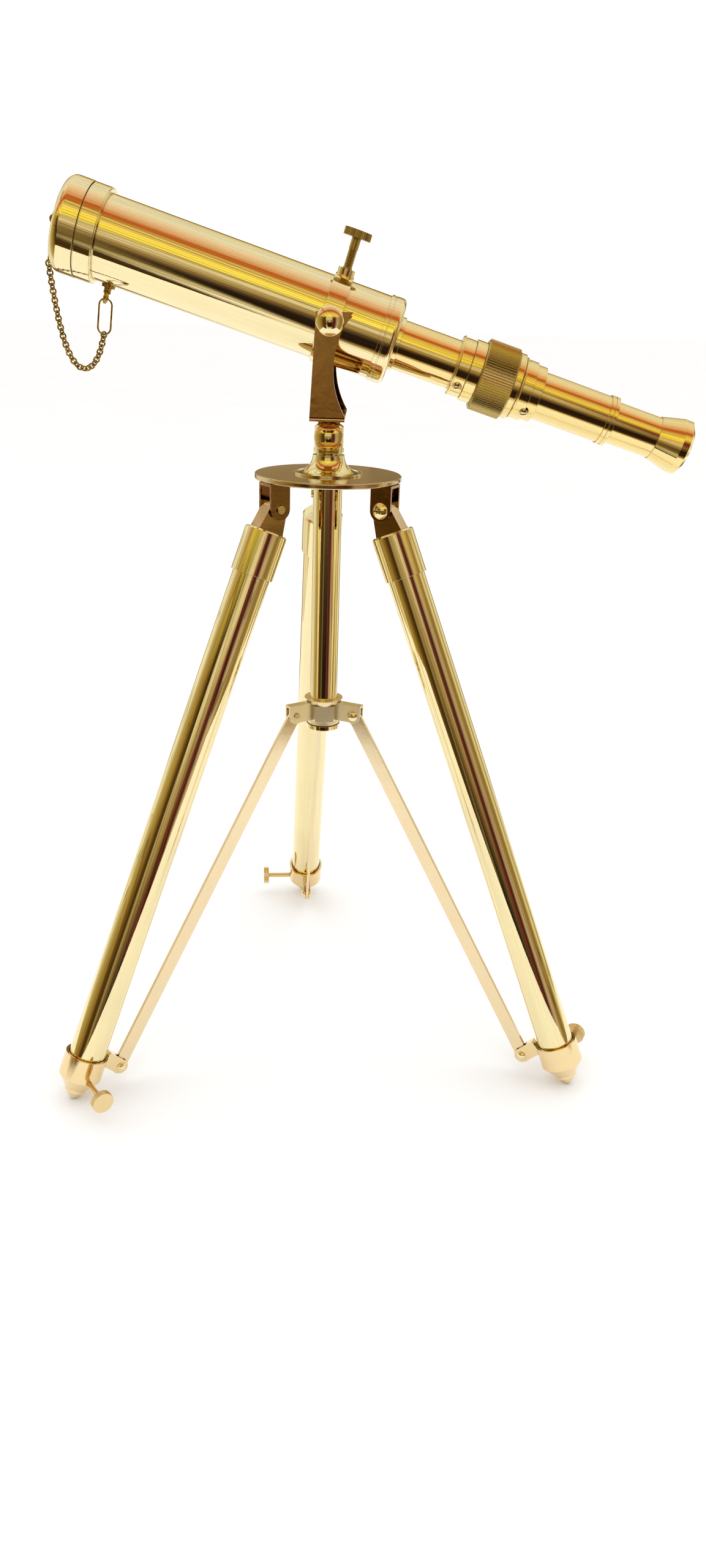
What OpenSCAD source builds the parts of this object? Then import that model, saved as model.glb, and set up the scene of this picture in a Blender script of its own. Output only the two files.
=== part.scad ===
// Tabletop brass telescope on a folding spider-braced tripod.
// Millimetres, +Z up. The origin lies on the floor under the tripod's centre column.
// The objective end points along -X and up, the eyepiece end along +X and down.

/* [Stance] */
// Height of the leg hinges above the floor
hinge_z = 346; // [344:0.5:350]
// Distance of each leg hinge from the column's centre line
hinge_r = 36; // [35:0.5:37]
// Lean of an open leg away from the vertical, in degrees
leg_angle = 22.5; // [22:0.1:23]
// Turn of the whole tripod about the vertical, in degrees
tripod_turn = 6; // [0:1:12]

/* [Legs] */
// Outside diameter of a leg tube
leg_d = 22; // [21:0.5:22]
// Wall thickness of a leg tube
leg_wall = 1.2; // [1:0.1:1.4]
// Outside diameter of the pointed inner leg
inner_leg_d = 12; // [11:0.5:12]
// Outside diameter of the ferrule at a leg's top
ferrule_d = 24.6; // [24.4:0.1:26]
// Outside diameter of the collar at a leg's foot
collar_d = 26; // [25.4:0.2:27]

/* [Spider] */
// Outside diameter of the centre column
column_d = 16.6; // [16:0.2:17]
// Height of the strut pins on the spider hub
hub_pin_z = 220; // [219:0.5:222]
// Distance of the hub's strut pins from the column's centre line
hub_pin_r = 21; // [20.5:0.1:21.5]
// Distance of the foot's strut pin along the leg from the leg hinge
foot_pin_s = 351.2; // [350:0.1:353]
// Distance of the foot's strut pin from the leg's centre line
foot_pin_x = 24.8; // [24:0.1:25.5]
// Width of a strut
strut_w = 8.4; // [8:0.2:8.8]
// Thickness of a strut
strut_t = 2; // [1.6:0.1:2.2]

/* [Head] */
// Diameter of the round head plate
disc_d = 84.6; // [84:0.2:90]
// Thickness of the head plate
disc_t = 3; // [2.5:0.1:3]
// Gap between the head plate's underside and the leg hinges
hinge_drop = 14; // [13:0.5:15]
// Height of the knuckle screw above the head plate's top
knuckle_h = 20.5; // [20:0.5:21.5]

/* [Yoke] */
// Height of the telescope's tilt axis above the floor
pivot_z = 444.7; // [444:0.1:447]
// Clear width between the yoke's arms
yoke_gap = 48.8; // [48.8:0.1:50]
// Thickness of the yoke's sheet
yoke_t = 1.6; // [1.4:0.1:2]

/* [Telescope] */
// Rise of the objective end above the horizontal, in degrees
tube_tilt = 17; // [0:0.5:30]
// Outside diameter of the main tube
main_d = 44.2; // [44:0.1:44.4]
// Wall thickness of the main tube
main_wall = 1.1; // [1:0.1:1.3]
// Outside diameter of the draw tube
draw_d = 26.2; // [26:0.1:26.4]
// Outside diameter of the knurled focus ring
focus_d = 38.6; // [38:0.2:40]
// Number of ribs of the straight knurl on the focus ring
focus_ribs = 88; // [60:4:96]
// Outside diameter of the eyepiece tube
eyepiece_d = 25.7; // [25.5:0.1:26]

/* [Chain] */
// Outside diameter of a chain link
link_d = 4.2; // [3.8:0.1:4.4]
// Wire diameter of a chain link
link_wire = 0.9; // [0.8:0.1:1]
// Number of chain links
link_count = 36; // [35:1:37]

/* [Hidden] */
$fn = 64;
NUMBERED = ["leg_tongue", "leg_ferrule", "leg_tube", "foot_collar", "inner_leg", "foot_thumbscrew",
    "strut", "strut_rivet"];

polished = [0.86, 0.66, 0.30];
pale = [0.88, 0.76, 0.48];
aged = [0.55, 0.40, 0.18];
blackened = [0.08, 0.07, 0.06];
clear_glass = [0.75, 0.85, 0.88, 0.35];

fit = 0.05;          // radial clearance of every running or sliding fit
side_play = 0.25;    // clearance beside a strut between its cheeks
far = 200;           // length of a cutting tool that passes right through

// Tripod
disc_bottom = hinge_z + hinge_drop;
disc_top = disc_bottom + disc_t;
foot_blunt_r = 1.8;
leg_length = (hinge_z - foot_blunt_r * sin(leg_angle)) / cos(leg_angle);
leg_r = leg_d / 2;
inner_leg_r = inner_leg_d / 2;
tongue_w = 9.8;
tongue_eye_r = 5.6;
ferrule_s = 13.5;
ferrule_h = 26;
ferrule_top_t = 3;
collar_h = 22.6;
collar_s = leg_length - 29.9;
collar_end_s = collar_s + collar_h;
socket_depth = 9.5;
socket_gap = 0.4;
screw_s = collar_s + 13.5;
thumb_shank_r = 1.8;
thumb_reach = 30;
thumb_head_r = 6.5;
thumb_head_t = 4;
inner_leg_top = 116;
guide_h = 8;

// Struts and hub
cheek_t = 1.3;
cheek_y = strut_t / 2 + side_play;
pin_r = 1.75;
lug_r = 4.6;
lug_slot = 7.5;      // how far a foot lug's slot runs behind its pin
slack_r = 2.6;       // half-width of the slack slot at a strut's foot
slack_in = 2.4;      // how far the slot runs towards the hub
slack_out = 1.2;     // how far the slot runs past the strut's end centre
foot_pin_rz = [
    hinge_r + foot_pin_s * sin(leg_angle) - foot_pin_x * cos(leg_angle),
    hinge_z - foot_pin_s * cos(leg_angle) - foot_pin_x * sin(leg_angle)];
strut_run = foot_pin_rz[0] - hub_pin_r;
strut_drop = hub_pin_z - foot_pin_rz[1];
strut_length = sqrt(strut_run * strut_run + strut_drop * strut_drop);
strut_angle = atan(strut_run / strut_drop);
column_r = column_d / 2;
hub_bottom = hub_pin_z - 7.6;
hub_top = hub_pin_z + 8.4;
hub_flat_r = 9.8;
end_cap_top = hub_bottom - 0.4;
end_cap_t = 2.6;

// Head and yoke
bell_top = disc_top + 10.6;
spindle_r = 4;
post_r = 8.6;
post_flat = 6.8;
knuckle_z = disc_top + knuckle_h;
tang_w = 6;
yoke_base_z = knuckle_z + 10;
yoke_base_t = 2;
pivot_r = 2.4;
arm_y = yoke_gap / 2;

// Telescope, measured along its axis from the tilt pivot, towards the objective
main_r = main_d / 2;
ring_w = 10;
ring_r = main_r + 1.7;
boss_top = main_r + 4.9;
tube_back = -31.5;
cell_back = 128;
cell_front = 138;
cell_r = 24.7;
spigot_r = 23.4;
cap_r = 24.9;
cap_front = 151.6;
lens_seat = 136.5;
lens_r = 20.75;
draw_r = draw_d / 2;
draw_back = -82;
draw_front = 30;
collar_front = -71.5;
focus_front = -85.6;
focus_back = -104.4;
focus_r = focus_d / 2;
eye_r = eyepiece_d / 2;
eye_inner_r = draw_r - 1;
barrel_front = -160.5;
barrel_r = 11.4;
cup_front = -191.5;
cup_back = -211;
cup_r = 15;

// Chain: a hanging curve between the cap's clip and the lug's ring
curve_a = 5.35;
curve_x = -136.7;
curve_z = 415.5;
first_link = -58;
last_link = 22.5;
link_pitch = (last_link - first_link) / (link_count - 1);
clip_wide = 4.6;
clip_wire = 0.75;
ring_wide = 8;
ring_wire = 1;
lug_l = 120;
lug_eye_h = main_r + 6.4;

function leg_azimuth(i) = tripod_turn + 90 + 120 * i;
function curve_point(s) = [curve_x + curve_a * ln(s / curve_a + sqrt(s * s / curve_a / curve_a + 1)),
    curve_z + curve_a * (sqrt(s * s / curve_a / curve_a + 1) - 1)];
function on_axis(l, h) = [
    h * sin(tube_tilt) - l * cos(tube_tilt),
    pivot_z + l * sin(tube_tilt) + h * cos(tube_tilt)];

// ---- Frames ----

// Radial plane of leg i: +X outward, +Z up
module at_leg(i) {
    rotate([0, 0, leg_azimuth(i)]) children();
}

// Leg i's own frame: origin at its hinge, +Z down the leg, +X towards the column
module along_leg(i) {
    at_leg(i)
        translate([hinge_r, 0, hinge_z])
            rotate([0, 180 - leg_angle, 0]) children();
}

// The telescope's frame: origin at the tilt pivot, +Z to the objective, +X up, +Y across
module along_tube() {
    translate([0, 0, pivot_z])
        rotate([0, tube_tilt - 90, 0]) children();
}

// Turns a shape drawn in the X-Z plane about the telescope's axis
module turned() {
    rotate_extrude() children();
}

// Extrudes an outline drawn in X-Z evenly to both sides along Y
module slab(width) {
    translate([0, width / 2, 0])
        rotate([90, 0, 0])
            linear_extrude(height = width) children();
}

// ---- Shared shapes ----

// Hole for a pin along Y, with its running clearance
module cross_hole(r) {
    translate([0, far / 2, 0]) rotate([90, 0, 0]) cylinder(r = r + fit, h = far);
}

// Low domed screw head on the plane z = 0, with an optional screwdriver slot
module dome_head(r, h, slot) {
    sphere_r = (r * r + h * h) / (2 * h);
    difference() {
        intersection() {
            translate([0, 0, h - sphere_r]) sphere(r = sphere_r);
            cylinder(r = r + 1, h = h + 1);
        }
        if (slot > 0) translate([-far / 2, -slot / 2, h * 0.45]) cube([far, slot, h]);
    }
}

// Round disc with a row of straight ribs round its edge
module ribbed_disc(r, h, ribs, depth) {
    linear_extrude(height = h)
        polygon([for (k = [0:2 * ribs - 1]) let (q = k % 2 == 0 ? r : r - depth, a = 180 * k / ribs)
            [q * cos(a), q * sin(a)]]);
}

// Rounded link: two straight wires joined by half rings, long side along Z, centred
module oval_link(length, width, wire) {
    bend = width / 2 - wire / 2;
    straight = length - width;
    for (side = [-1, 1]) {
        translate([side * bend, 0, -straight / 2]) cylinder(d = wire, h = straight);
        translate([0, 0, side * straight / 2])
            rotate([90, 0, 0])
                rotate([0, 0, side > 0 ? 0 : 180])
                    rotate_extrude(angle = 180) translate([bend, 0]) circle(d = wire);
    }
}

// Puts a shape that stands along Z midway between two [x, z] points, along the line between them
module spanning(foot, head) {
    run = head - foot;
    translate([(foot[0] + head[0]) / 2, 0, (foot[1] + head[1]) / 2])
        rotate([0, atan(run[0] / run[1]), 0]) children();
}

// ---- Tripod head ----

module head_disc() {
    edge = 0.8;
    color(pale)
        translate([0, 0, disc_bottom])
            rotate_extrude() {
                translate([spindle_r + fit, 0]) square([disc_d / 2 - spindle_r - fit - edge, disc_t]);
                translate([spindle_r + 1, edge]) square([disc_d / 2 - spindle_r - 1, disc_t - 2 * edge]);
                for (y = [edge, disc_t - edge]) translate([disc_d / 2 - edge, y]) circle(r = edge);
            }
}

module bell_base() {
    bore = spindle_r + fit;
    flange_t = 1;
    flange_r = 19.7;
    sweep = bell_top - disc_top - flange_t;
    color(polished)
        translate([0, 0, disc_top])
            rotate_extrude()
                difference() {
                    union() {
                        translate([bore, 0]) square([flange_r - bore, flange_t]);
                        translate([bore, 0]) square([flange_r - 1 - bore, flange_t + sweep]);
                    }
                    translate([flange_r - 1, flange_t + sweep]) circle(r = sweep);
                }
}

module centre_column() {
    color(polished)
        translate([0, 0, end_cap_top])
            difference() {
                cylinder(r = column_r, h = disc_bottom - end_cap_top);
                translate([0, 0, -1]) cylinder(r = column_r - 1.3, h = far);
            }
}

module column_end_cap() {
    plug_r = column_r - 1.3 - fit;
    color(polished) {
        translate([0, 0, end_cap_top - end_cap_t]) cylinder(r = column_r + 2, h = end_cap_t);
        translate([0, 0, end_cap_top - 1]) cylinder(r = plug_r, h = 9);
    }
}

// U-shaped hinge brackets: a web under the head plate and two cheeks
module leg_brackets() {
    cheek = 1.5;
    web = 1.6;
    half = 6.2;
    gap = tongue_w + 0.2;
    color(polished)
        for (i = [0:2])
            at_leg(i)
                translate([hinge_r, 0, 0])
                    difference() {
                        slab(gap + 2 * cheek) {
                            translate([-half, hinge_z]) square([2 * half, hinge_drop]);
                            translate([0, hinge_z]) circle(r = half);
                        }
                        translate([-far / 2, -gap / 2, disc_bottom - web - far]) cube([far, gap, far]);
                        translate([0, 0, hinge_z]) cross_hole(pin_r + 0.5);
                    }
}

// Slotted screws that the legs turn on: domed head on one side, plain end on the other
module leg_hinge_screws() {
    outside = tongue_w / 2 + 0.1 + 1.5;
    shank_r = pin_r + 0.5;
    color(polished)
        for (i = [0:2])
            at_leg(i)
                translate([hinge_r, 0, hinge_z])
                    rotate([90, 0, 0]) {
                        translate([0, 0, -outside - 1.2]) cylinder(r = shank_r, h = 2 * outside + 1.3);
                        translate([0, 0, outside]) dome_head(4.7, 2.3, 1.1);
                    }
}

// ---- Legs ----

// Sheet channel that joins a leg to its hinge
module leg_tongue(i) {
    web = 1.5;
    half_foot = 8.2;
    color(polished)
        along_leg(i)
            difference() {
                slab(tongue_w) {
                    circle(r = tongue_eye_r);
                    polygon([
                        [-tongue_eye_r, 0], [tongue_eye_r, 0],
                        [half_foot, ferrule_s], [-half_foot, ferrule_s]]);
                }
                translate([0.6 - tongue_eye_r, web - tongue_w / 2, 4.6])
                    cube([far, tongue_w - 2 * web, far]);
                cross_hole(pin_r + 0.5);
            }
}

// Cup with a closed top that carries the leg tube
module leg_ferrule(i) {
    color(polished)
        along_leg(i)
            translate([0, 0, ferrule_s])
                difference() {
                    union() {
                        cylinder(r1 = ferrule_d / 2 - 1, r2 = ferrule_d / 2, h = 1);
                        translate([0, 0, 1]) cylinder(d = ferrule_d, h = ferrule_h - 1);
                    }
                    translate([0, 0, ferrule_top_t]) cylinder(r = leg_r + fit, h = ferrule_h);
                }
}

module leg_tube(i) {
    top = ferrule_s + ferrule_top_t;
    color(polished)
        along_leg(i)
            translate([0, 0, top])
                difference() {
                    cylinder(r = leg_r, h = collar_s + socket_depth - top);
                    translate([0, 0, -1]) cylinder(r = leg_r - leg_wall, h = 2 * far);
                }
}

// Turned collar at the foot, with the two-cheeked lug that holds the strut
module foot_collar(i) {
    color(pale)
        along_leg(i)
            difference() {
                union() {
                    translate([0, 0, collar_s]) cylinder(d = collar_d, h = 14.5);
                    translate([0, 0, collar_s + 14.5])
                        cylinder(r1 = collar_d / 2, r2 = inner_leg_r + 1, h = collar_h - 14.5);
                    foot_lug();
                }
                translate([0, 0, collar_s - 20]) cylinder(r = leg_r + socket_gap, h = 20 + socket_depth);
                translate([0, 0, collar_s]) cylinder(r = inner_leg_r + fit, h = far);
                translate([0, 0, screw_s]) rotate([-90, 0, 0]) cylinder(r = thumb_shank_r + fit, h = far);
            }
}

module foot_lug() {
    root = foot_pin_x - leg_r - 1;
    translate([foot_pin_x, 0, foot_pin_s])
        rotate([0, -leg_angle, 0])
            difference() {
                slab(2 * (cheek_y + cheek_t)) {
                    circle(r = lug_r);
                    translate([-root, -lug_r]) square([root, 2 * lug_r]);
                }
                translate([-lug_slot, -cheek_y, -far / 2]) cube([far, 2 * cheek_y, far]);
                cross_hole(pin_r);
            }
}

// Pointed inner leg that slides out of the leg tube
module inner_leg(i) {
    bore_r = inner_leg_r - 1;
    guide_r = leg_r - leg_wall - fit;
    stop_r = inner_leg_r + 0.8;
    stop_t = 1.4;
    color(pale)
        along_leg(i)
            rotate_extrude()
                polygon([
                    [bore_r, inner_leg_top], [guide_r, inner_leg_top],
                    [guide_r, inner_leg_top + guide_h], [inner_leg_r, inner_leg_top + guide_h],
                    [inner_leg_r, collar_end_s], [stop_r, collar_end_s], [stop_r, collar_end_s + stop_t],
                    [foot_blunt_r, leg_length], [0, leg_length], [0, collar_end_s - 4],
                    [bore_r, collar_end_s - 4]]);
}

// Knurled screw that clamps the inner leg
module foot_thumbscrew(i) {
    color(pale)
        along_leg(i)
            translate([0, 0, screw_s])
                rotate([-90, 0, 0]) {
                    translate([0, 0, inner_leg_r + fit])
                        cylinder(r = thumb_shank_r, h = thumb_reach - inner_leg_r);
                    translate([0, 0, thumb_reach]) ribbed_disc(thumb_head_r, thumb_head_t, 36, 0.35);
                }
}

// ---- Spider brace ----

module hub_arm() {
    outer = hub_pin_r + 5;
    difference() {
        slab(2 * (cheek_y + cheek_t)) {
            translate([hub_flat_r - 1, hub_pin_z - 4.4]) square([outer - hub_flat_r + 1 - 5, 11.2]);
            translate([hub_pin_r, hub_pin_z]) square([5, 6.8]);
            translate([hub_pin_r, hub_pin_z]) circle(r = 5);
        }
        translate([hub_flat_r + 2.5, -cheek_y, hub_pin_z + 5.4 - far]) cube([far, 2 * cheek_y, far]);
        translate([hub_pin_r, 0, hub_pin_z]) cross_hole(pin_r);
    }
}

// Sliding hub: flared sleeve, six-sided body and three forked arms
module spider_hub() {
    flare = 3.4;
    body_z = hub_bottom + 2.6;
    color(pale)
        difference() {
            union() {
                translate([0, 0, hub_bottom]) cylinder(r = column_r + 1.5, h = 4);
                translate([0, 0, body_z])
                    rotate([0, 0, tripod_turn])
                        cylinder(r = hub_flat_r / cos(30), h = hub_top - flare - body_z, $fn = 6);
                translate([0, 0, hub_top - flare])
                    cylinder(r1 = hub_flat_r, r2 = hub_flat_r + 2, h = flare);
                for (i = [0:2]) at_leg(i) hub_arm();
            }
            translate([0, 0, hub_bottom - 1]) cylinder(r = column_r + fit, h = far);
        }
}

module hub_screws() {
    outside = cheek_y + cheek_t;
    color(pale)
        for (i = [0:2])
            at_leg(i)
                translate([hub_pin_r, 0, hub_pin_z])
                    rotate([90, 0, 0]) {
                        translate([0, 0, -outside - 1]) cylinder(r = pin_r, h = 2 * outside + 1.1);
                        translate([0, 0, outside]) dome_head(3.4, 1.7, 0.9);
                    }
}

// Flat strut: close-fitting hole at the hub, slack slot at the foot
module strut(i) {
    foot_end = strut_length + slack_out;
    color(pale)
        at_leg(i)
            translate([hub_pin_r, 0, hub_pin_z])
                rotate([0, 180 - strut_angle, 0])
                    difference() {
                        slab(strut_t) {
                            translate([-strut_w / 2, 0]) square([strut_w, foot_end]);
                            for (end = [0, foot_end]) translate([0, end]) circle(d = strut_w);
                        }
                        cross_hole(pin_r);
                        slab(far) {
                            for (end = [-slack_in, slack_out])
                                translate([0, strut_length + end]) circle(r = slack_r);
                            translate([-slack_r, strut_length - slack_in])
                                square([2 * slack_r, slack_in + slack_out]);
                        }
                    }
}

module strut_rivet(i) {
    outside = cheek_y + cheek_t;
    color(pale)
        along_leg(i)
            translate([foot_pin_x, 0, foot_pin_s])
                rotate([90, 0, 0]) {
                    translate([0, 0, -outside - 0.1]) cylinder(r = pin_r, h = 2 * outside + 0.2);
                    for (turn = [0, 180])
                        rotate([turn, 0, 0]) translate([0, 0, outside]) dome_head(3.1, 1.8, 0);
                }
}

// ---- Pan post and yoke ----

module pan_post() {
    neck_r = 7.2;
    shoulder = bell_top + 1.4;
    color(polished)
        difference() {
            union() {
                translate([0, 0, disc_bottom - 9])
                    cylinder(r = spindle_r, h = bell_top - disc_bottom + 10);
                translate([0, 0, bell_top]) cylinder(r = neck_r, h = shoulder - bell_top);
                translate([0, 0, shoulder]) cylinder(r = post_r, h = knuckle_z + 5.4 - shoulder);
                translate([0, 0, knuckle_z + 5.4]) cylinder(r1 = post_r, r2 = post_r - 1, h = 1);
            }
            translate([-far / 2, -tang_w / 2 - fit, knuckle_z - 6.6]) cube([far, tang_w + 2 * fit, far]);
            for (side = [-1, 1])
                translate([0, side * (post_flat + far / 2), shoulder + far / 2]) cube(far, center = true);
            translate([0, 0, knuckle_z]) cross_hole(pivot_r);
        }
}

// Nut on the pan spindle, inside the hollow column
module pan_nut() {
    color(polished)
        translate([0, 0, disc_bottom - 5.6])
            difference() {
                cylinder(r = 6.6, h = 5.5, $fn = 6);
                translate([0, 0, -1]) cylinder(r = spindle_r + fit, h = 8);
            }
}

module knuckle_screw() {
    color(polished)
        translate([0, 0, knuckle_z])
            rotate([90, 0, 0]) {
                translate([0, 0, -post_flat]) cylinder(r = pivot_r, h = 2 * post_flat + 0.1);
                translate([0, 0, post_flat]) dome_head(8.2, 3.9, 0);
            }
}

// Side outline of a yoke arm: straight at the objective side, hollowed at the eyepiece side
module arm_outline() {
    top = pivot_z + 4.6;
    difference() {
        polygon([[-10.2, yoke_base_z], [9, yoke_base_z], [12.2, top], [-7.4, top]]);
        translate([48.4, yoke_base_z + 27.1]) circle(r = 46);
    }
}

// U-shaped yoke of bent sheet with a tang below it
module yoke() {
    outer_y = arm_y + yoke_t;
    bend = 2.4;
    flat_y = outer_y - bend;
    color(polished)
        difference() {
            union() {
                intersection() {
                    slab(3 * outer_y) arm_outline();
                    rotate([90, 0, 90])
                        translate([0, yoke_base_z, -far / 2])
                            linear_extrude(height = far)
                                difference() {
                                    union() {
                                        translate([-outer_y, bend]) square([2 * outer_y, far]);
                                        translate([-flat_y, 0]) square([2 * flat_y, 2 * bend]);
                                        for (side = [-1, 1])
                                            translate([side * flat_y, bend]) circle(r = bend);
                                    }
                                    translate([-arm_y, yoke_base_t]) square([2 * arm_y, far]);
                                }
                }
                slab(tang_w) {
                    translate([0, knuckle_z]) circle(r = 6.2);
                    translate([-6.2, knuckle_z]) square([12.4, yoke_base_z - knuckle_z + 0.5]);
                }
            }
            translate([0, 0, knuckle_z]) cross_hole(pivot_r);
            translate([0, 0, pivot_z]) cross_hole(pivot_r);
        }
}

// Large domed screws that hold the clamp ring between the yoke's arms
module yoke_pivot_screws() {
    color(polished)
        translate([0, 0, pivot_z])
            for (turn = [90, -90])
                rotate([turn, 0, 0]) {
                    translate([0, 0, main_r + 0.4])
                        cylinder(r = pivot_r, h = arm_y + yoke_t - main_r - 0.3);
                    translate([0, 0, arm_y + yoke_t]) dome_head(7.8, 4, 0);
                }
}

// ---- Clamp ring ----

module clamp_ring() {
    color(polished)
        along_tube()
            difference() {
                union() {
                    translate([0, 0, -ring_w / 2]) cylinder(r = ring_r, h = ring_w);
                    for (turn = [90, -90]) rotate([turn, 0, 0]) cylinder(r = 4.6, h = arm_y - 0.05);
                    rotate([0, 90, 0]) cylinder(r = 4.7, h = boss_top);
                }
                translate([0, 0, -far / 2]) cylinder(r = main_r + fit, h = far);
                for (turn = [90, -90]) rotate([turn, 0, 0]) cylinder(r = pivot_r + fit, h = far);
                rotate([0, 90, 0]) cylinder(r = 2.5 + fit, h = far);
            }
}

module clamp_thumbscrew() {
    shank_r = 2.5;
    pitch = 0.9;
    thread_start = boss_top + 0.8;
    turns = 10;
    thread_end = thread_start + turns * pitch;
    head_start = 42.8;
    color(polished)
        along_tube()
            rotate([0, 90, 0]) {
                rotate_extrude()
                    polygon(concat(
                        [[0, main_r + fit], [shank_r - 0.4, main_r + fit], [shank_r, main_r + 0.5]],
                        [for (k = [0:turns - 1]) for (p = [[shank_r, 0], [shank_r - 0.4, 0.5]])
                            [p[0], thread_start + (k + p[1]) * pitch]],
                        [[shank_r, thread_end], [shank_r, head_start], [0, head_start]]));
                translate([0, 0, head_start]) ribbed_disc(7.5, 3.9, 40, 0.35);
            }
}

// ---- Main tube ----

module main_tube() {
    color(polished)
        along_tube()
            translate([0, 0, tube_back])
                difference() {
                    cylinder(r = main_r, h = cell_back + 6 - tube_back);
                    translate([0, 0, -1]) cylinder(r = main_r - main_wall, h = 2 * far);
                }
}

// Turned end piece that closes the main tube round the draw tube
module rear_flange() {
    skirt = main_r + fit;
    rim = main_r + 0.8;
    bore = draw_r + fit;
    guide = draw_r + 2.4;
    color(polished)
        along_tube()
            turned()
                difference() {
                    union() {
                        translate([skirt, tube_back]) square([rim - skirt, 4]);
                        translate([bore, tube_back - 2]) square([rim - bore, 2]);
                        translate([bore, tube_back - 5]) square([rim - 3 - bore, 4]);
                        translate([rim - 3, tube_back - 2]) circle(r = 3);
                        translate([bore, tube_back - 7.4]) square([1, 3]);
                        translate([bore, tube_back - 1]) square([guide - bore, 9]);
                    }
                    translate([guide, tube_back]) square([skirt - guide, 2 * far]);
                    translate([rim - 0.25, tube_back + 1.2]) square([2, 0.8]);
                }
}

module objective_cell() {
    seat = lens_r + fit;
    color(polished)
        along_tube()
            turned()
                difference() {
                    union() {
                        translate([0, cell_back]) square([cell_r - 0.6, cell_front - cell_back]);
                        translate([0, cell_back + 0.6]) square([cell_r, cell_front - cell_back - 1.2]);
                        translate([0, cell_back]) square([spigot_r, cell_front + 9 - cell_back]);
                    }
                    translate([-1, cell_back - 1]) square([main_r + fit + 1, 7]);
                    translate([-1, cell_back]) square([lens_r, far]);
                    translate([-1, lens_seat]) square([seat + 1, far]);
                }
}

// Convex lens: two shallow caps on a cylindrical edge
module convex_lens(r, edge, rise) {
    sphere_r = (r * r + rise * rise) / (2 * rise);
    rotate_extrude()
        intersection() {
            translate([0, -rise]) square([r, edge + 2 * rise]);
            translate([0, edge + rise - sphere_r]) circle(r = sphere_r, $fn = 1440);
            translate([0, sphere_r - rise]) circle(r = sphere_r, $fn = 1440);
        }
}

module objective_lens() {
    color(clear_glass)
        along_tube()
            translate([0, 0, lens_seat + 0.15]) convex_lens(lens_r - 0.1, 3, 1.2);
}

module lens_retainer() {
    color(blackened)
        along_tube()
            translate([0, 0, lens_seat + 3.5])
                difference() {
                    cylinder(r = lens_r, h = 3);
                    translate([0, 0, -1]) cylinder(r = lens_r - 1.8, h = 5);
                }
}

// Blackened stop ring inside the main tube
module tube_baffle() {
    color(blackened)
        along_tube()
            translate([0, 0, 86])
                difference() {
                    cylinder(r = main_r - main_wall - fit, h = 4);
                    translate([0, 0, -1]) cylinder(r = 16.5, h = 6);
                    translate([0, 0, 1]) cylinder(r = main_r - main_wall - 1.6, h = 6);
                }
}

// Screw eye under the tube's front end for the cap's chain
module chain_lug() {
    color(aged)
        along_tube()
            translate([0, 0, lug_l])
                rotate([0, -90, 0]) {
                    difference() {
                        translate([0, 0, main_r - 1]) cylinder(r = 3.6, h = 2.4);
                        rotate([0, 90, 0]) cylinder(r = main_r + 0.02, h = far, center = true);
                    }
                    translate([0, 0, main_r + 1]) cylinder(r = 2, h = 3.4);
                    translate([0, 0, lug_eye_h])
                        rotate([90, 0, 90])
                            rotate_extrude() translate([2.6, 0]) circle(r = 0.95);
                }
}

// Ring, row of links and long clip that tie the dust cap to the tube
module chain() {
    clip_foot = curve_point(first_link) + [0, 0.2];
    clip_head = on_axis(cap_front + 4, 0) - [0, 0.5];
    ring_foot = curve_point(last_link) + [0, 0.36];
    ring_head = on_axis(lug_l, -lug_eye_h) - [0, 0.7];
    color(aged) {
        spanning(clip_foot, clip_head)
            rotate([0, 0, 90]) oval_link(norm(clip_head - clip_foot) + clip_wire, clip_wide, clip_wire);
        spanning(ring_foot, ring_head)
            oval_link(norm(ring_head - ring_foot) + ring_wire, ring_wide, ring_wire);
        for (k = [0:link_count - 1]) {
            s = first_link + k * link_pitch;
            p = curve_point(s);
            translate([p[0], 0, p[1]])
                rotate([0, -atan(s / curve_a), 0])
                    rotate([k % 2 == 0 ? 45 : -45, 0, 0])
                        rotate_extrude() translate([link_d / 2 - link_wire / 2, 0]) circle(d = link_wire);
        }
    }
}

// ---- Dust cap ----

module dust_cap() {
    edge = 5;
    rim = cell_front + 0.2;
    depth = cap_front - 1.8 - cell_front;
    color(polished)
        along_tube()
            turned()
                difference() {
                    union() {
                        translate([0, rim]) square([cap_r, cap_front - edge - rim]);
                        translate([0, cap_front - edge]) square([cap_r - edge, edge]);
                        translate([cap_r - edge, cap_front - edge]) circle(r = edge);
                    }
                    translate([-2, cell_front - 1]) square([spigot_r + fit + 2, 10.4]);
                    translate([-2, cell_front]) square([cap_r - edge + 2, depth]);
                    translate([-far, cell_front - 5]) square([far, far]);
                }
}

module cap_eyelet() {
    color(aged)
        along_tube() {
            translate([0, 0, cap_front]) cylinder(r = 2.6, h = 1);
            translate([0, 0, cap_front]) cylinder(r = 1.2, h = 2.4);
            translate([0, 0, cap_front + 4])
                rotate([90, 0, 0]) rotate_extrude() translate([1.9, 0]) circle(r = 0.6);
        }
}

// ---- Draw tube and focusing ring ----

module draw_tube() {
    color(polished)
        along_tube()
            translate([0, 0, draw_back])
                difference() {
                    cylinder(r = draw_r, h = draw_front - draw_back);
                    translate([0, 0, -1]) cylinder(r = eye_inner_r + fit, h = far);
                }
}

// Ring on the draw tube's inner end that keeps it centred in the main tube
module draw_guide() {
    color(polished)
        along_tube()
            translate([0, 0, draw_front - 8])
                difference() {
                    cylinder(r = main_r - main_wall - fit, h = 8);
                    translate([0, 0, -1]) cylinder(r = draw_r + fit, h = 10);
                }
}

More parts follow.
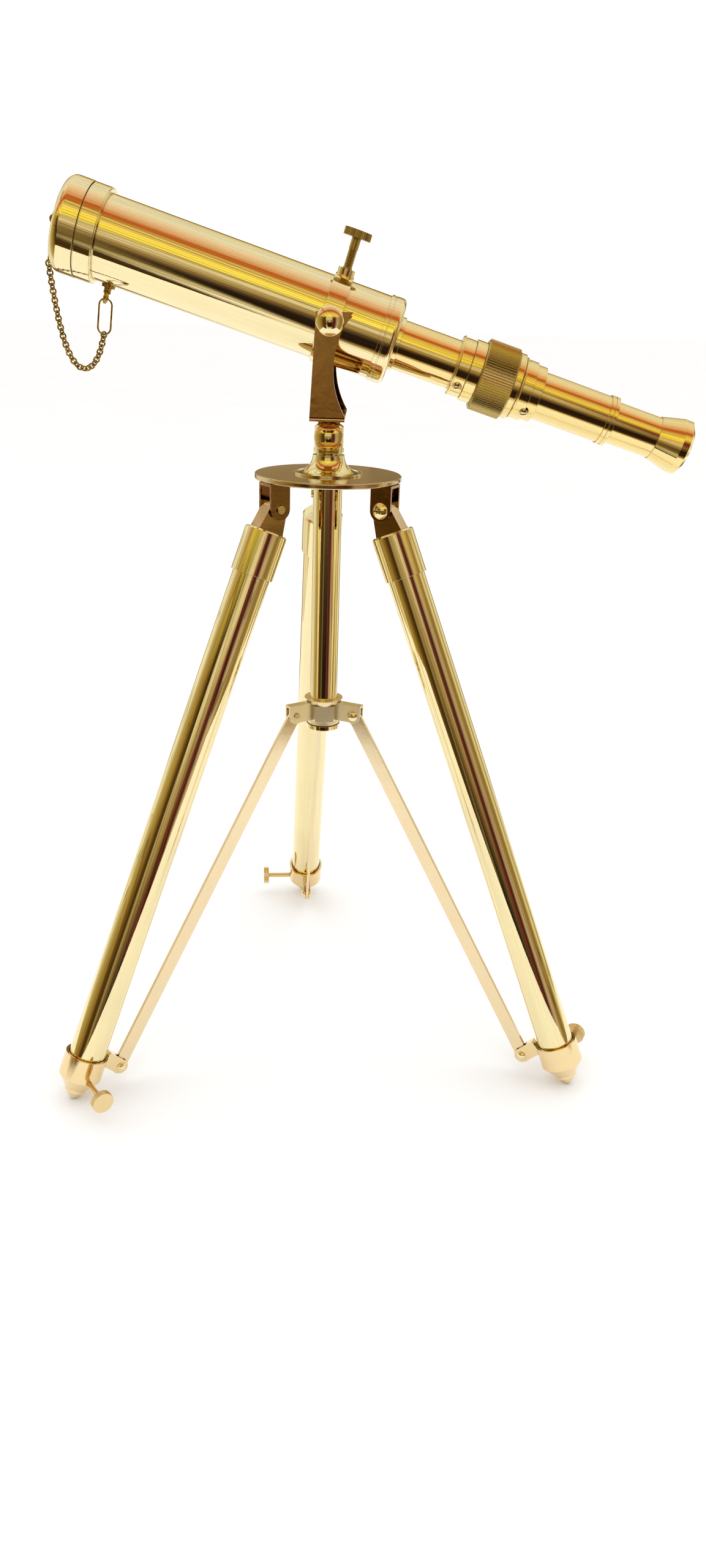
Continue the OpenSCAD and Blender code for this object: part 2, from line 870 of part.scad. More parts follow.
// Set screw head and shank, screwed inward through a collar at the angle below the horizontal
module set_screw(l, r, below, head_r) {
    along_tube()
        translate([0, 0, l])
            rotate([0, 0, -90 - below])
                rotate([0, 90, 0]) {
                    translate([0, 0, r - 2]) cylinder(r = 1.4, h = 2.1);
                    translate([0, 0, r]) rotate([0, 0, 25]) dome_head(head_r, 1.4, 0.9);
                }
}

module set_screw_hole(l, below) {
    translate([0, 0, l]) rotate([0, 0, -90 - below]) rotate([0, 90, 0]) cylinder(r = 1.4 + fit, h = far);
}

module front_collar() {
    bore = draw_r + fit;
    color(polished)
        along_tube()
            difference() {
                turned()
                    difference() {
                        union() {
                            translate([bore, focus_front + 0.1])
                                square([15 - bore, collar_front - focus_front - 0.1]);
                            translate([bore, collar_front - 7.6]) square([15.6 - bore, 7.6]);
                            translate([bore, focus_front + 0.1])
                                square([16.6 - bore, collar_front - 8 - focus_front]);
                            translate([15.6, collar_front - 0.9]) circle(r = 0.6);
                        }
                        translate([bore - 5, focus_front - 10]) square([5, far]);
                    }
                set_screw_hole(collar_front - 4.4, 38);
            }
}

module front_collar_screw() {
    color(polished) set_screw(collar_front - 4.4, 15.6, 38, 2.6);
}

module focus_ring() {
    length = focus_front - focus_back;
    color(aged)
        along_tube()
            translate([0, 0, focus_back])
                difference() {
                    union() {
                        cylinder(r1 = focus_r - 1.2, r2 = focus_r - 0.6, h = 0.7);
                        translate([0, 0, 0.7]) ribbed_disc(focus_r, length - 1.4, focus_ribs, 0.45);
                        translate([0, 0, length - 0.7])
                            cylinder(r1 = focus_r - 0.6, r2 = focus_r - 1.2, h = 0.7);
                    }
                    translate([0, 0, -1]) cylinder(r = eye_inner_r + fit, h = length - 2.6);
                    translate([0, 0, -1]) cylinder(r = eye_inner_r, h = far);
                    translate([0, 0, length - 3.7]) cylinder(r = draw_r + fit, h = far);
                }
}

module rear_collar() {
    bore = eye_r + fit;
    front = focus_back - 0.1;
    color(polished)
        along_tube()
            difference() {
                turned() {
                    translate([bore, front - 3.2]) square([17.8 - bore, 3.2]);
                    translate([bore, front - 11]) square([16 - bore, 8]);
                    translate([bore, front - 16.4]) square([15 - bore, 6]);
                    translate([16, front - 4.6]) circle(r = 0.7);
                }
                set_screw_hole(front - 10.9, 42);
            }
}

module rear_collar_screw() {
    color(polished) set_screw(focus_back - 11, 16, 42, 2.7);
}

// ---- Eyepiece ----

module eyepiece_tube() {
    color(polished)
        along_tube()
            turned()
                polygon([
                    [eye_inner_r - 1.1, barrel_front], [eye_r, barrel_front], [eye_r, focus_back - 0.1],
                    [eye_inner_r, focus_back - 0.1], [eye_inner_r, -68], [eye_inner_r - 1.1, -68]]);
}

// Stepped barrel that plugs into the eyepiece tube
module eyepiece_barrel() {
    color(polished)
        along_tube()
            turned()
                difference() {
                    union() {
                        translate([9.4, barrel_front]) square([eye_inner_r - 1.1 - fit - 9.4, 7]);
                        translate([9.4, barrel_front - 4.6]) square([13.5 - 9.4, 4.6]);
                        translate([9.4, cup_front]) square([barrel_r - 9.4, barrel_front - cup_front]);
                    }
                    translate([13.2, barrel_front - 2.6]) square([2, 0.6]);
                }
}

// Flared eyecup with a domed end and a sight hole
module eyecup() {
    land = 4;
    rise = 2.2;
    length = cup_front - cup_back;
    color(polished)
        along_tube()
            translate([0, 0, cup_back])
                difference() {
                    union() {
                        translate([0, 0, rise]) cylinder(r = cup_r, h = land);
                        cylinder(r1 = cup_r - 3.4, r2 = cup_r, h = rise);
                        translate([0, 0, rise + land])
                            cylinder(r1 = cup_r, r2 = barrel_r + 0.4, h = length - rise - land);
                    }
                    translate([0, 0, -1]) cylinder(r = 4, h = far);
                    translate([0, 0, 5]) cylinder(r = 9.2, h = far);
                    translate([0, 0, -0.01]) cylinder(r1 = 10.4, r2 = 4, h = 3.2);
                }
}

// Matching pair of small convex lenses inside the eyepiece barrel
module eye_lenses() {
    color(clear_glass)
        along_tube()
            for (l = [barrel_front - 2, cup_front + 5]) translate([0, 0, l]) convex_lens(9.3, 1.6, 1);
}

head_disc();
bell_base();
centre_column();
column_end_cap();
leg_brackets();
leg_hinge_screws();
spider_hub();
hub_screws();
pan_post();
pan_nut();
knuckle_screw();
yoke();
yoke_pivot_screws();
clamp_ring();
clamp_thumbscrew();
main_tube();
rear_flange();
objective_cell();
objective_lens();
lens_retainer();
tube_baffle();
chain_lug();
chain();
dust_cap();
cap_eyelet();
draw_tube();
draw_guide();
front_collar();
front_collar_screw();
focus_ring();
rear_collar();
rear_collar_screw();
eyepiece_tube();
eyepiece_barrel();
eyecup();
eye_lenses();
for (i = [1:3]) {
    leg_tongue(i);
    leg_ferrule(i);
    leg_tube(i);
    foot_collar(i);
    inner_leg(i);
    foot_thumbscrew(i);
    strut(i);
    strut_rivet(i);
}
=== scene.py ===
import math
import bpy
from mathutils import Matrix, Vector


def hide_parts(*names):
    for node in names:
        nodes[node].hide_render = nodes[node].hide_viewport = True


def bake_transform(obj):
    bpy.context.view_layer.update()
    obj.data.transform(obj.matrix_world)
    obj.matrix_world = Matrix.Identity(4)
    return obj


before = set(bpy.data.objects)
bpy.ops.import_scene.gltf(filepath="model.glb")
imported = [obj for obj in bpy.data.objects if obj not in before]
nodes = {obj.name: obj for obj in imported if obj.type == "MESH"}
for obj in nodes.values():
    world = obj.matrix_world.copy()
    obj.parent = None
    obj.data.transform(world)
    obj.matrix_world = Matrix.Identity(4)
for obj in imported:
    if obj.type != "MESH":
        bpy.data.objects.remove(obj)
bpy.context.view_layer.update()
scene = bpy.context.scene
scene.view_settings.view_transform = "Standard"

# ---- Facts repeated from the CAD, in metres ----
TILT = math.radians(17)
PIVOT = Vector((0, 0, 0.4447))
TUBE_U = Vector((-math.cos(TILT), 0, math.sin(TILT)))
TUBE_W = Vector((math.sin(TILT), 0, math.cos(TILT)))
LEG_LEAN = math.radians(22.5)
LEG_ZERO, LEG_STEP = 96, 120
HINGE_R, HINGE_Z = 0.036, 0.346


def leg_azimuth(i):
    return math.radians(LEG_ZERO + LEG_STEP * i)


def frame_along(z, x):
    """Rotation whose columns are the axes of a part's own frame: +Z along the part, +X across it."""
    z = z.normalized()
    x = (x - z * x.dot(z)).normalized()
    y = z.cross(x)
    return Matrix((x, y, z)).transposed()


def leg_frame(i):
    """A leg's own frame: it starts at the hinge, and +Z runs down the leg."""
    a = leg_azimuth(i)
    out = Vector((math.cos(a), math.sin(a), 0))
    down = out * math.sin(LEG_LEAN) - Vector((0, 0, math.cos(LEG_LEAN)))
    return Vector((HINGE_R * out.x, HINGE_R * out.y, HINGE_Z)), frame_along(down, -out)


TUBE = (PIVOT, frame_along(TUBE_U, TUBE_W))
UPRIGHT = (Vector((0, 0, 0)), Matrix.Identity(3))


# ---- Shader nodes ----
def grey(value):
    return (value, value, value)


def scaled(colour, factor):
    return tuple(factor * c for c in colour)


def fill_ramp(elements, stops):
    """Puts the stops, given in rising order, into a new colour ramp."""
    elements[0].position, elements[0].color = stops[0][0], (*stops[0][1], 1)
    elements[1].position, elements[1].color = stops[-1][0], (*stops[-1][1], 1)
    for position, colour in stops[1:-1]:
        elements.new(position).color = (*colour, 1)


class Graph:
    """Short names for adding and joining nodes in the tree of a new material or world."""

    def __init__(self, owner):
        owner.use_nodes = True
        self.tree = owner.node_tree
        self.tree.nodes.clear()

    def put(self, socket, value):
        """Links a socket into the input, or sets the input to a number, a colour or a vector."""
        if isinstance(value, bpy.types.NodeSocket):
            self.tree.links.new(value, socket)
        else:
            socket.default_value = value

    def add(self, kind, inputs=None, **settings):
        n = self.tree.nodes.new(kind)
        for key, value in settings.items():
            setattr(n, key, value)
        for key, value in (inputs or {}).items():
            self.put(n.inputs[key], value)
        return n

    def math(self, op, a, b=0.0):
        return self.add("ShaderNodeMath", {0: a, 1: b}, operation=op).outputs[0]

    def noise(self, vector, scale, detail=3.0, rough=0.55):
        inputs = {"Vector": vector, "Scale": scale, "Detail": detail, "Roughness": rough}
        return self.add("ShaderNodeTexNoise", inputs).outputs["Fac"]

    def ramp(self, value, *stops):
        """Colour ramp; a stop's colour may be a single number, which means a grey."""
        n = self.add("ShaderNodeValToRGB", {"Fac": value})
        fill_ramp(n.color_ramp.elements, [(p, grey(c) if isinstance(c, (int, float)) else c) for p, c in stops])
        return n.outputs["Color"]

    def mix(self, fac, a, b, kind="MIX"):
        n = self.add("ShaderNodeMix", data_type="RGBA", blend_type=kind)
        for socket, value in ((n.inputs[0], fac), (n.inputs[6], a), (n.inputs[7], b)):
            self.put(socket, (*value, 1) if isinstance(value, tuple) else value)
        return n.outputs[2]

    def part(self, mask, share):
        """The mask at a share of its strength."""
        return self.math("MULTIPLY", mask, share)

    def corners(self, distance, full, none, samples=6):
        """Ambient-occlusion mask, used for painted shade: 1 in corners tighter than the distance and 0 in the
        open.
        """
        near = self.add("ShaderNodeAmbientOcclusion", {"Distance": distance}, samples=samples).outputs["AO"]
        return self.ramp(near, (full, 1.0), (none, 0.0))

    def rounded(self, radius):
        """Normal that shows each sharp edge as rounded."""
        return self.add("ShaderNodeBevel", {"Radius": radius}, samples=4).outputs[0]

    def bump(self, height, strength, distance, normal=None):
        inputs = {"Height": height, "Strength": strength, "Distance": distance}
        if normal:
            inputs["Normal"] = normal
        return self.add("ShaderNodeBump", inputs).outputs[0]

    def surface(self, inputs):
        """Ends a material with its surface shader."""
        shader = self.add("ShaderNodeBsdfPrincipled", inputs)
        self.add("ShaderNodeOutputMaterial", {"Surface": shader.outputs[0]})


def new_material(name):
    material = bpy.data.materials.new(name)
    return material, Graph(material)


def local_coords(g, place, squeeze=(1, 1, 1)):
    """Object coordinates turned into a part's own frame, then scaled."""
    origin, rot = place
    coord = g.add("ShaderNodeTexCoord").outputs["Object"]
    moved = g.add("ShaderNodeVectorMath", {0: coord, 1: tuple(-origin)}, operation="ADD").outputs[0]
    turn = tuple(rot.inverted().to_euler())
    turned = g.add("ShaderNodeMapping", {"Vector": moved, "Rotation": turn}, vector_type="POINT").outputs[0]
    return g.add("ShaderNodeMapping", {"Vector": turned, "Scale": squeeze}, vector_type="POINT").outputs[0]


# ---- Materials: noise scales are features per metre, depths and distances are metres ----
LINE_SCALE, CLOUD_SCALE, MARK_SCALE, PIT_SCALE = 900.0, 28.0, 120.0, 420.0
SATIN_CLOUD_SCALE, SATIN_GRIT_SCALE = 60.0, 1600.0
PATINA_SCALE, PATINA_GRIT_SCALE = 340.0, 2400.0
PAINT_DUST_SCALE, LENS_DUST_SCALE = 500.0, 700.0
SATIN_ROUGHNESS = 0.2
# The third colour is the near-black brown painted as shade into the corners of the chain, lug and eyelet
PATINA, RUBBED, PAINTED_SHADE = (0.32, 0.20, 0.035), (0.78, 0.55, 0.12), (0.07, 0.042, 0.015)
PAINT_BLACK, PAINT_DUST = (0.012, 0.011, 0.010), (0.07, 0.06, 0.05)
CROWN_GLASS, COATING_BLUE, CROWN_IOR = (0.93, 0.97, 1.0), (0.6, 0.7, 1.0), 1.52
# How a part's frame is squeezed so that its tool marks run along it, round it or nowhere
GRAIN = {"along": (1, 1, 0.02), "round": (0.15, 0.15, 9), "any": (1, 1, 1)}


def brass(name, place, tone, dark, rough=0.02, grain="along", painted_shade_share=0.6, spread=0.35, wave=0.0004):
    """Lacquered brass: draw lines, faint clouding, fingermarks and painted shade darkening the corners."""
    material, g = new_material(name)
    plain = local_coords(g, place)
    lines = g.noise(local_coords(g, place, GRAIN[grain]), LINE_SCALE, detail=3.0, rough=0.6)
    cloud = g.noise(plain, CLOUD_SCALE, detail=4.0, rough=0.6)
    marks = g.noise(plain, MARK_SCALE, detail=5.0, rough=0.65)
    pits = g.add("ShaderNodeTexVoronoi", {"Vector": plain, "Scale": PIT_SCALE}, feature="F1").outputs["Distance"]
    painted_shade_mask = g.corners(distance=0.0022, full=0.25, none=0.72)
    clouded = g.ramp(cloud, (0.3, 0.0), (0.72, 1.0))
    lined = g.ramp(lines, (0.45, 0.0), (0.8, 1.0))
    pitted = g.ramp(pits, (0.0, 1.0), (0.06, 0.0))
    hazed = g.ramp(marks, (0.45, 0.0), (0.8, 1.0))
    colour = g.mix(g.part(clouded, share=spread), tone, scaled(tone, 0.86))
    colour = g.mix(g.part(lined, share=0.12), colour, dark)
    colour = g.mix(g.part(pitted, share=0.25), colour, dark)
    # Painted shade: the colour goes towards 0.35 of the dark tone in corners and between parts, where ambient
    # occlusion finds shade
    colour = g.mix(g.part(painted_shade_mask, share=painted_shade_share), colour, scaled(dark, 0.35))
    roughness = g.math("ADD", g.part(hazed, share=0.035), rough)
    roughness = g.math("ADD", roughness, g.part(lines, share=0.02))
    roughness = g.math("ADD", roughness, g.part(painted_shade_mask, share=0.2))
    dents = g.bump(cloud, strength=0.12, distance=wave, normal=g.rounded(radius=0.0003))
    scratches = g.bump(lines, strength=0.01, distance=0.0004, normal=dents)
    g.surface({"Base Color": colour, "Metallic": 1.0, "Roughness": roughness, "Normal": scratches,
               "Coat Weight": 0.25, "Coat Roughness": 0.02, "Coat IOR": 1.45})
    return material


def knurled(name, place, tone, dark):
    """Satin ribbed brass: oxide and painted shade darken the grooves, and the crests are rubbed bright."""
    material, g = new_material(name)
    plain = local_coords(g, place)
    cloud = g.noise(plain, SATIN_CLOUD_SCALE, detail=4.0, rough=0.6)
    grit = g.noise(plain, SATIN_GRIT_SCALE, detail=3.0, rough=0.7)
    oxide_and_shade = g.corners(distance=0.0012, full=0.35, none=0.85, samples=8)
    colour = g.mix(g.part(cloud, share=0.6), tone, scaled(tone, 0.8))
    # Oxide and painted shade: the colour goes towards the dark tone in the grooves, where ambient occlusion finds
    # shade
    colour = g.mix(g.part(oxide_and_shade, share=0.75), colour, dark)
    roughness = g.math("ADD", g.part(grit, share=0.14), g.part(oxide_and_shade, share=0.2))
    roughness = g.math("ADD", roughness, SATIN_ROUGHNESS)
    grain = g.bump(grit, strength=0.25, distance=0.0002, normal=g.rounded(radius=0.00015))
    g.surface({"Base Color": colour, "Metallic": 1.0, "Roughness": roughness, "Normal": grain})
    return material


def aged(name, place):
    """Antiqued brass of the chain, lug and eyelet: brown patina with bright rubbed spots, and painted shade in the
    corners.
    """
    material, g = new_material(name)
    plain = local_coords(g, place)
    patch = g.noise(plain, PATINA_SCALE, detail=5.0, rough=0.65)
    grit = g.noise(plain, PATINA_GRIT_SCALE, detail=3.0, rough=0.7)
    painted_shade_mask = g.corners(distance=0.0015, full=0.25, none=0.8)
    colour = g.mix(g.ramp(patch, (0.4, 0.0), (0.68, 1.0)), PATINA, RUBBED)
    # Painted shade: the colour goes nearly black in the corners, where ambient occlusion finds shade
    colour = g.mix(g.part(painted_shade_mask, share=0.7), colour, PAINTED_SHADE)
    roughness = g.math("ADD", g.part(grit, share=0.2), SATIN_ROUGHNESS)
    g.surface({"Base Color": colour, "Metallic": 1.0, "Roughness": roughness,
               "Normal": g.bump(patch, strength=0.3, distance=0.0002)})
    return material


def blackened(name, place):
    """Matt black paint inside the tube, with dust on it."""
    material, g = new_material(name)
    dust = g.noise(local_coords(g, place), PAINT_DUST_SCALE, detail=5.0, rough=0.7)
    dust = g.ramp(dust, (0.5, 0.0), (0.85, 1.0))
    g.surface({"Base Color": g.mix(g.part(dust, share=0.5), PAINT_BLACK, PAINT_DUST), "Roughness": 0.75,
               "Normal": g.bump(dust, strength=0.3, distance=0.0002)})
    return material


def lens_glass(name, place):
    """Clear glass with a faint blue coating sheen and a little dust."""
    material, g = new_material(name)
    dust = g.noise(local_coords(g, place), LENS_DUST_SCALE, detail=4.0, rough=0.7)
    dust = g.ramp(dust, (0.62, 0.0), (0.9, 1.0))
    g.surface({"Base Color": (*CROWN_GLASS, 1), "Roughness": g.part(dust, share=0.12), "IOR": CROWN_IOR,
               "Transmission Weight": 1.0, "Coat Weight": 0.6, "Coat Tint": (*COATING_BLUE, 1)})
    return material


def finish_node(name, material):
    o = nodes[name]
    o.data.materials.clear()
    o.data.materials.append(material)


def finish_all(place, table):
    """Gives each (node, function, settings) of a table its own material in the part's own frame."""
    for name, make, settings in table:
        finish_node(name, make(name + "_look", place, **settings))


# Lacquer tones; a _DARK tone is that of the lines and pits, and 0.35 of it that of the painted shade in the
# corners
GOLD, GOLD_DARK = (0.91, 0.78, 0.44), (0.36, 0.22, 0.07)
PALE, PALE_DARK = (0.93, 0.80, 0.50), (0.45, 0.31, 0.12)
OLIVE, OLIVE_DARK = (0.56, 0.42, 0.15), (0.09, 0.055, 0.015)
BROWN, BROWN_DARK = (0.60, 0.38, 0.16), (0.16, 0.07, 0.02)
RICH = (0.92, 0.73, 0.32)
ORANGE = (0.90, 0.70, 0.38)
ORANGE_SATIN = (0.88, 0.68, 0.36)
STRAW = (0.88, 0.71, 0.44)
UMBER = (0.38, 0.22, 0.09)
TAN = (0.62, 0.42, 0.20)
BUFF = (0.68, 0.54, 0.32)

TURNED = dict(tone=GOLD, dark=GOLD_DARK, grain="round")
DRAWN = dict(tone=GOLD, dark=GOLD_DARK, grain="along")
CAST = dict(tone=GOLD, dark=GOLD_DARK, grain="any", rough=0.03)
RICH_TURNED = dict(TURNED, tone=RICH)
RICH_DRAWN = dict(DRAWN, tone=RICH)
DULL_CAST = dict(CAST, tone=TAN)
BROWNED = dict(tone=BROWN, dark=BROWN_DARK, grain="any", rough=0.04, spread=0.5, wave=0.003)
# Deep browned brass gets stronger painted shade in its corners
DEEP_BROWNED = dict(BROWNED, tone=UMBER, painted_shade_share=0.8)
PLATE = dict(tone=BUFF, dark=PALE_DARK, grain="any", rough=0.10, spread=1.0)
FOOT = dict(tone=ORANGE, dark=PALE_DARK, grain="round", rough=0.06)
PALE_CAST = dict(tone=PALE, dark=PALE_DARK, grain="any", rough=0.14)
HUB = dict(PALE_CAST, rough=0.36)
FLAT_BAR = dict(PALE_CAST, tone=STRAW, rough=0.12)
SATIN = dict(tone=OLIVE, dark=OLIVE_DARK)
PALE_SATIN = dict(tone=ORANGE_SATIN, dark=PALE_DARK)

finish_all(UPRIGHT, [
    ("head_disc", brass, PLATE),
    ("bell_base", brass, TURNED),
    ("centre_column", brass, DRAWN),
    ("column_end_cap", brass, TURNED),
    ("leg_brackets", brass, DEEP_BROWNED),
    ("leg_hinge_screws", brass, CAST),
    ("spider_hub", brass, HUB),
    ("hub_screws", brass, PALE_CAST),
    ("pan_post", brass, TURNED),
    ("pan_nut", brass, CAST),
    ("knuckle_screw", brass, CAST),
    ("yoke", brass, BROWNED),
    ("yoke_pivot_screws", brass, CAST),
])
finish_all(TUBE, [
    ("clamp_ring", brass, TURNED),
    ("clamp_thumbscrew", knurled, SATIN),
    ("main_tube", brass, DRAWN),
    ("rear_flange", brass, TURNED),
    ("objective_cell", brass, TURNED),
    ("objective_lens", lens_glass, {}),
    ("lens_retainer", blackened, {}),
    ("tube_baffle", blackened, {}),
    ("chain_lug", aged, {}),
    ("dust_cap", brass, TURNED),
    ("cap_eyelet", aged, {}),
    ("draw_tube", brass, RICH_DRAWN),
    ("draw_guide", brass, TURNED),
    ("front_collar", brass, RICH_TURNED),
    ("front_collar_screw", brass, CAST),
    ("focus_ring", knurled, SATIN),
    ("rear_collar", brass, RICH_TURNED),
    ("rear_collar_screw", brass, CAST),
    ("eyepiece_tube", brass, RICH_DRAWN),
    ("eyepiece_barrel", brass, RICH_TURNED),
    ("eyecup", brass, RICH_TURNED),
    ("eye_lenses", lens_glass, {}),
])
for i in (1, 2, 3):
    finish_all(leg_frame(i), [
        (f"leg_tongue_{i}", brass, DULL_CAST),
        (f"leg_ferrule_{i}", brass, TURNED),
        (f"leg_tube_{i}", brass, DRAWN),
        (f"foot_collar_{i}", brass, FOOT),
        (f"inner_leg_{i}", brass, FOOT),
        (f"foot_thumbscrew_{i}", knurled, PALE_SATIN),
        (f"strut_{i}", brass, FLAT_BAR),
        (f"strut_rivet_{i}", brass, PALE_CAST),
    ])

# ---- Chain: a copy of the imported chain, with its own material, stands in for it ----
links = bpy.data.objects.new("cap_chain", nodes["chain"].data.copy())
scene.collection.objects.link(links)
links.data.materials.clear()
links.data.materials.append(aged("chain_look", TUBE))
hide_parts("chain")
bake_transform(links)


# ---- Stage ----
def floor(name, size, centre, drop):
    """Plain pale floor: a flat sheet the drop below the feet."""
    x, y = size[0] / 2, size[1] / 2
    corners = [(centre[0] + a, centre[1] + b, -drop) for a, b in ((-x, -y), (x, -y), (x, y), (-x, y))]
    mesh = bpy.data.meshes.new(name)
    mesh.from_pydata(corners, [], [(0, 1, 2, 3)])
    o = bpy.data.objects.new(name, mesh)
    scene.collection.objects.link(o)
    material, g = new_material(name + "_look")
    speckle = g.noise(g.add("ShaderNodeTexCoord").outputs["Object"], 3.0, 2.0)
    tone = g.ramp(speckle, (0.3, 0.93), (0.7, 0.945))
    g.surface({"Base Color": tone, "Roughness": 0.7, "Specular IOR Level": 0.2})
    mesh.materials.append(material)
    return o


# The brass mirrors only the near floor; past it the room's own low bands show in the metal
floor("floor_near", (1.0, 1.0), (0, 0.1), 0.00002)
floor("floor_far", (40, 40), (0, 0), 0.0001).visible_glossy = False

STAGE_CENTRE = (0, 0, 0.28)
NEUTRAL, WARM = (1.0, 1.0, 1.0), (1.0, 0.99, 0.97)


def softbox(name, place, size, watts, colour):
    """Rectangular light aimed at the object; the metal mirrors the room and not the light."""
    data = bpy.data.lights.new(name, "AREA")
    data.shape = "RECTANGLE"
    data.size, data.size_y = size
    data.energy = watts
    data.color = colour
    o = bpy.data.objects.new(name, data)
    o.location = place
    o.rotation_euler = (Vector(STAGE_CENTRE) - Vector(place)).to_track_quat("-Z", "Y").to_euler()
    o.visible_glossy = False
    scene.collection.objects.link(o)


softbox("top_softbox", (0.1, 0.25, 1.7), (1.6, 1.2), 3.5, NEUTRAL)
softbox("left_softbox", (-1.5, -0.35, 0.75), (0.9, 1.3), 2, WARM)
softbox("right_softbox", (1.6, 0.05, 0.7), (1.0, 1.3), 2, WARM)


# ---- Room mirrored by the brass: each band is (angle in degrees, colour) ----
# Angle up from straight ahead of the object, over the top (90), to behind it (180)
BANDS_ALOFT = [
    (5, (0.50, 0.40, 0.22)), (10, (0.85, 0.75, 0.55)), (15, (0.85, 0.78, 0.58)),
    (18, (0.55, 0.46, 0.22)), (21, (0.72, 0.64, 0.30)), (24, (1.15, 1.0, 0.2)),
    (36, (1.12, 0.93, 0.16)), (41, (0.95, 0.78, 0.26)), (53, (0.74, 0.54, 0.2)),
    (57, (0.6, 0.19, 0.04)), (66, (0.6, 0.15, 0.035)), (71, (0.8, 0.42, 0.25)),
    (80, (0.9, 0.6, 0.42)), (95, (1.02, 0.86, 0.78)), (115, (0.93, 0.98, 0.92)),
    (138, (0.92, 0.88, 0.86)), (146, (0.95, 0.80, 0.40)), (155, (0.55, 0.42, 0.14)),
    (165, (0.12, 0.08, 0.035)), (174, (0.40, 0.28, 0.12)), (180, (1.05, 1.05, 1.05)),
]
# Below straight ahead, where something nearly black stands in front of the object
BANDS_DARK = [
    (-180, (1.05, 1.05, 1.0)), (-46, (1.05, 1.02, 0.95)), (-42, (0.75, 0.66, 0.4)),
    (-38, (0.36, 0.26, 0.11)), (-36, (0.12, 0.06, 0.03)), (-33, (0.03, 0.016, 0.01)),
    (-17, (0.02, 0.012, 0.009)), (-13, (0.05, 0.035, 0.025)), (-8, (0.15, 0.09, 0.045)),
    (-4, (0.28, 0.19, 0.08)), (-1, (0.40, 0.30, 0.14)),
]
# Below straight ahead, to the left of it
BANDS_GAP = [
    (-180, (1.05, 1.05, 1.0)), (-40, (1.05, 1.0, 0.9)), (-30, (0.62, 0.55, 0.36)),
    (-22, (0.26, 0.2, 0.09)), (-15, (0.2, 0.15, 0.06)), (-8, (0.3, 0.22, 0.1)),
]
# Angle round the object: 0 straight ahead of it, 90 to its right, 180 behind it
BANDS_AROUND = [
    (-180, (1.05, 1.05, 1.05)), (-163, (1.0, 0.97, 0.85)), (-157, (0.40, 0.28, 0.10)),
    (-152, (0.12, 0.07, 0.03)), (-144, (0.95, 0.9, 0.75)), (-110, (1.0, 0.97, 0.85)),
    (-100, (0.72, 0.64, 0.4)), (-85, (0.52, 0.42, 0.18)), (-66, (0.40, 0.28, 0.07)),
    (-56, (0.32, 0.19, 0.04)), (-46, (0.15, 0.09, 0.02)), (-36, (0.07, 0.04, 0.012)),
    (-24, (0.07, 0.04, 0.012)), (15, (0.07, 0.03, 0.012)), (19, (0.2, 0.035, 0.03)),
    (25, (0.18, 0.03, 0.025)), (28, (0.05, 0.02, 0.012)), (36, (0.11, 0.05, 0.03)),
    (42, (0.45, 0.33, 0.27)), (50, (0.58, 0.44, 0.33)), (60, (0.5, 0.38, 0.2)),
    (67, (0.33, 0.24, 0.09)), (84, (0.33, 0.22, 0.07)), (92, (0.75, 0.65, 0.38)),
    (103, (0.9, 0.85, 0.62)), (111, (0.42, 0.32, 0.12)), (122, (0.85, 0.78, 0.55)),
    (138, (1.05, 1.05, 1.0)), (144, (0.55, 0.45, 0.2)), (150, (0.12, 0.06, 0.03)),
    (160, (1.0, 0.95, 0.8)), (180, (1.05, 1.05, 1.05)),
]
# Shares, by the angle round the object
DARK_SHARE = [(-19, 0), (-15, 1)]
LEVEL_SHARE = [(-180, 1), (-166, 1), (-160, 0), (-28, 0), (-23, 1), (13, 1), (19, 0), (160, 0), (166, 1), (180, 1)]
# Share of the level bands, by the height of the mirrored direction
OVERHEAD = [(0.28, 0.0), (0.52, 1.0)]
STREAKS = [(0.36, (0.5, 0.43, 0.36)), (0.47, (0.96, 0.95, 0.92)), (0.7, (1.15, 1.15, 1.12))]
STREAKS_UP, STREAKS_ROUND = 70.0, 55.0
PLAIN_ROOM = (1.1, 1.1, 1.1)


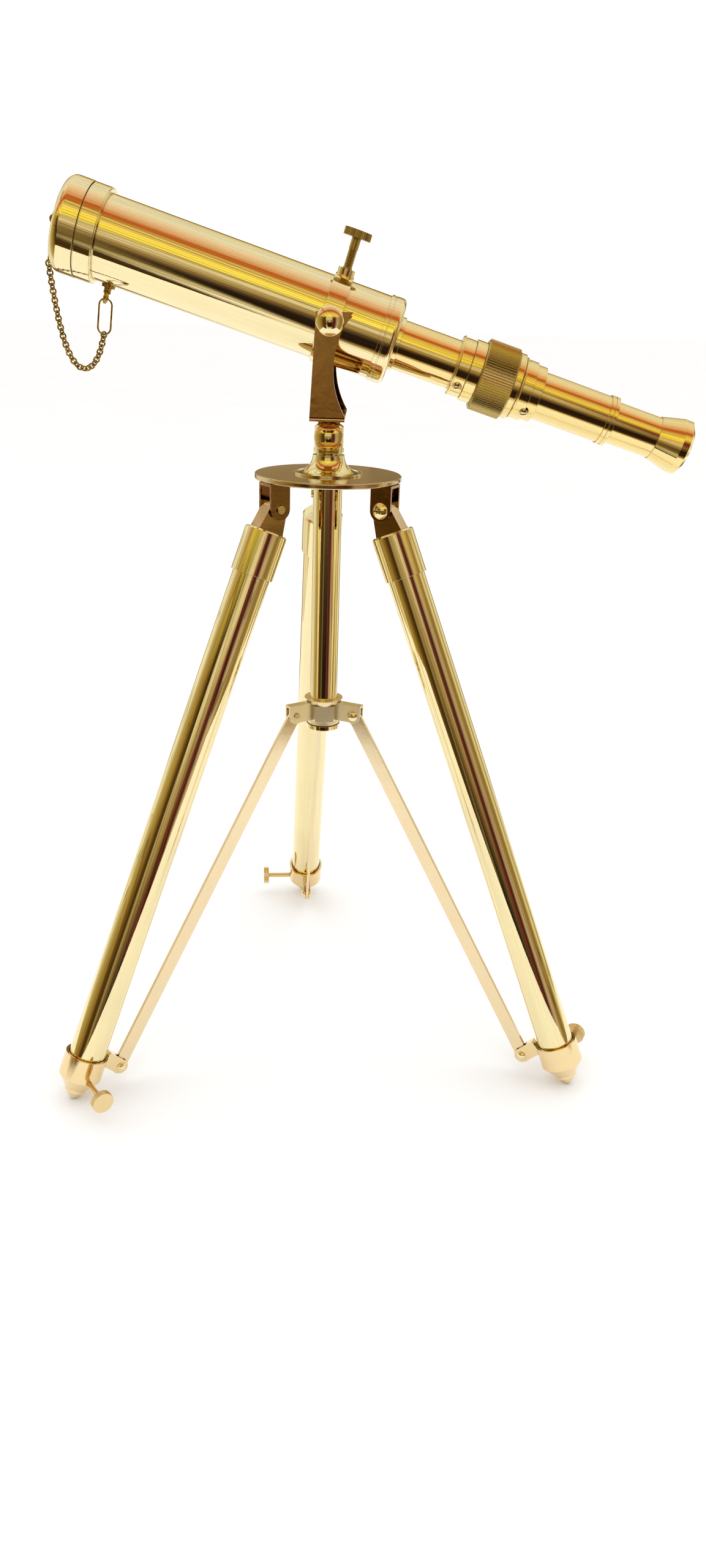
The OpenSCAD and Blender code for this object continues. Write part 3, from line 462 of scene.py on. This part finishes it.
def room():
    """World with bands in the brass's mirror, and plain white as light and as backdrop."""
    world = bpy.data.worlds.new("room")
    scene.world = world
    g = Graph(world)

    def circle_share(a, b):
        """The angle of (b, a), from 0 at -180 degrees to 1 at 180."""
        return g.math("DIVIDE", g.math("ADD", g.math("ARCTAN2", a, b), math.pi), 2 * math.pi)

    def bands(share, stops):
        return g.ramp(share, *(((deg + 180) / 360, colour) for deg, colour in stops))

    direction = g.add("ShaderNodeTexCoord").outputs["Generated"]
    x, y, z = g.add("ShaderNodeSeparateXYZ", {0: direction}).outputs
    ahead = g.math("MULTIPLY", y, -1.0)
    pitch = circle_share(z, ahead)
    turn = circle_share(x, ahead)
    with_gap = bands(pitch, BANDS_GAP + BANDS_ALOFT)
    with_dark = bands(pitch, BANDS_DARK + BANDS_ALOFT)
    level = g.mix(bands(turn, DARK_SHARE), with_gap, with_dark)
    # Near the horizon the sides show what stands round the object; overhead the level bands go right across
    across = g.math("MAXIMUM", g.ramp(z, *OVERHEAD), bands(turn, LEVEL_SHARE))
    colour = g.mix(across, bands(turn, BANDS_AROUND), level)
    # Thin uneven streaks, as clutter in a room makes
    along = g.math("ADD", g.math("MULTIPLY", pitch, STREAKS_UP), g.math("MULTIPLY", turn, STREAKS_ROUND))
    streaks = g.add("ShaderNodeTexNoise", {"W": along, "Scale": 1.0, "Detail": 3.0, "Roughness": 0.7},
                    noise_dimensions="1D").outputs["Fac"]
    busy = g.mix(1.0, colour, g.ramp(streaks, *STREAKS), "MULTIPLY")
    mirrored = g.add("ShaderNodeLightPath").outputs["Is Glossy Ray"]
    sky = g.add("ShaderNodeBackground", {"Color": g.mix(mirrored, PLAIN_ROOM, busy), "Strength": 1.0})
    g.add("ShaderNodeOutputWorld", {"Surface": sky.outputs[0]})


room()

# ---- Camera at the photograph's viewing angle ----
CAMERA_PLACE = (0.0235, -0.6797, 0.4553)
CAMERA_FORWARD = (-0.0048, 0.9223, -0.3865)
CAMERA_ROLL = 0.0325
SENSOR_MM, LENS_MM = 36, 26.52

camera = bpy.data.objects.new("camera", bpy.data.cameras.new("camera"))
scene.collection.objects.link(camera)
camera.data.sensor_width = SENSOR_MM
camera.data.lens = LENS_MM
camera.data.clip_start = 0.01
camera.data.clip_end = 50
forward = Vector(CAMERA_FORWARD).normalized()
level = forward.cross(Vector((0, 0, 1))).normalized()
above = level.cross(forward)
right = level * math.cos(CAMERA_ROLL) + above * math.sin(CAMERA_ROLL)
up = above * math.cos(CAMERA_ROLL) - level * math.sin(CAMERA_ROLL)
turned = Matrix((right, up, -forward)).transposed().to_4x4()
camera.matrix_world = Matrix.Translation(CAMERA_PLACE) @ turned
scene.camera = camera
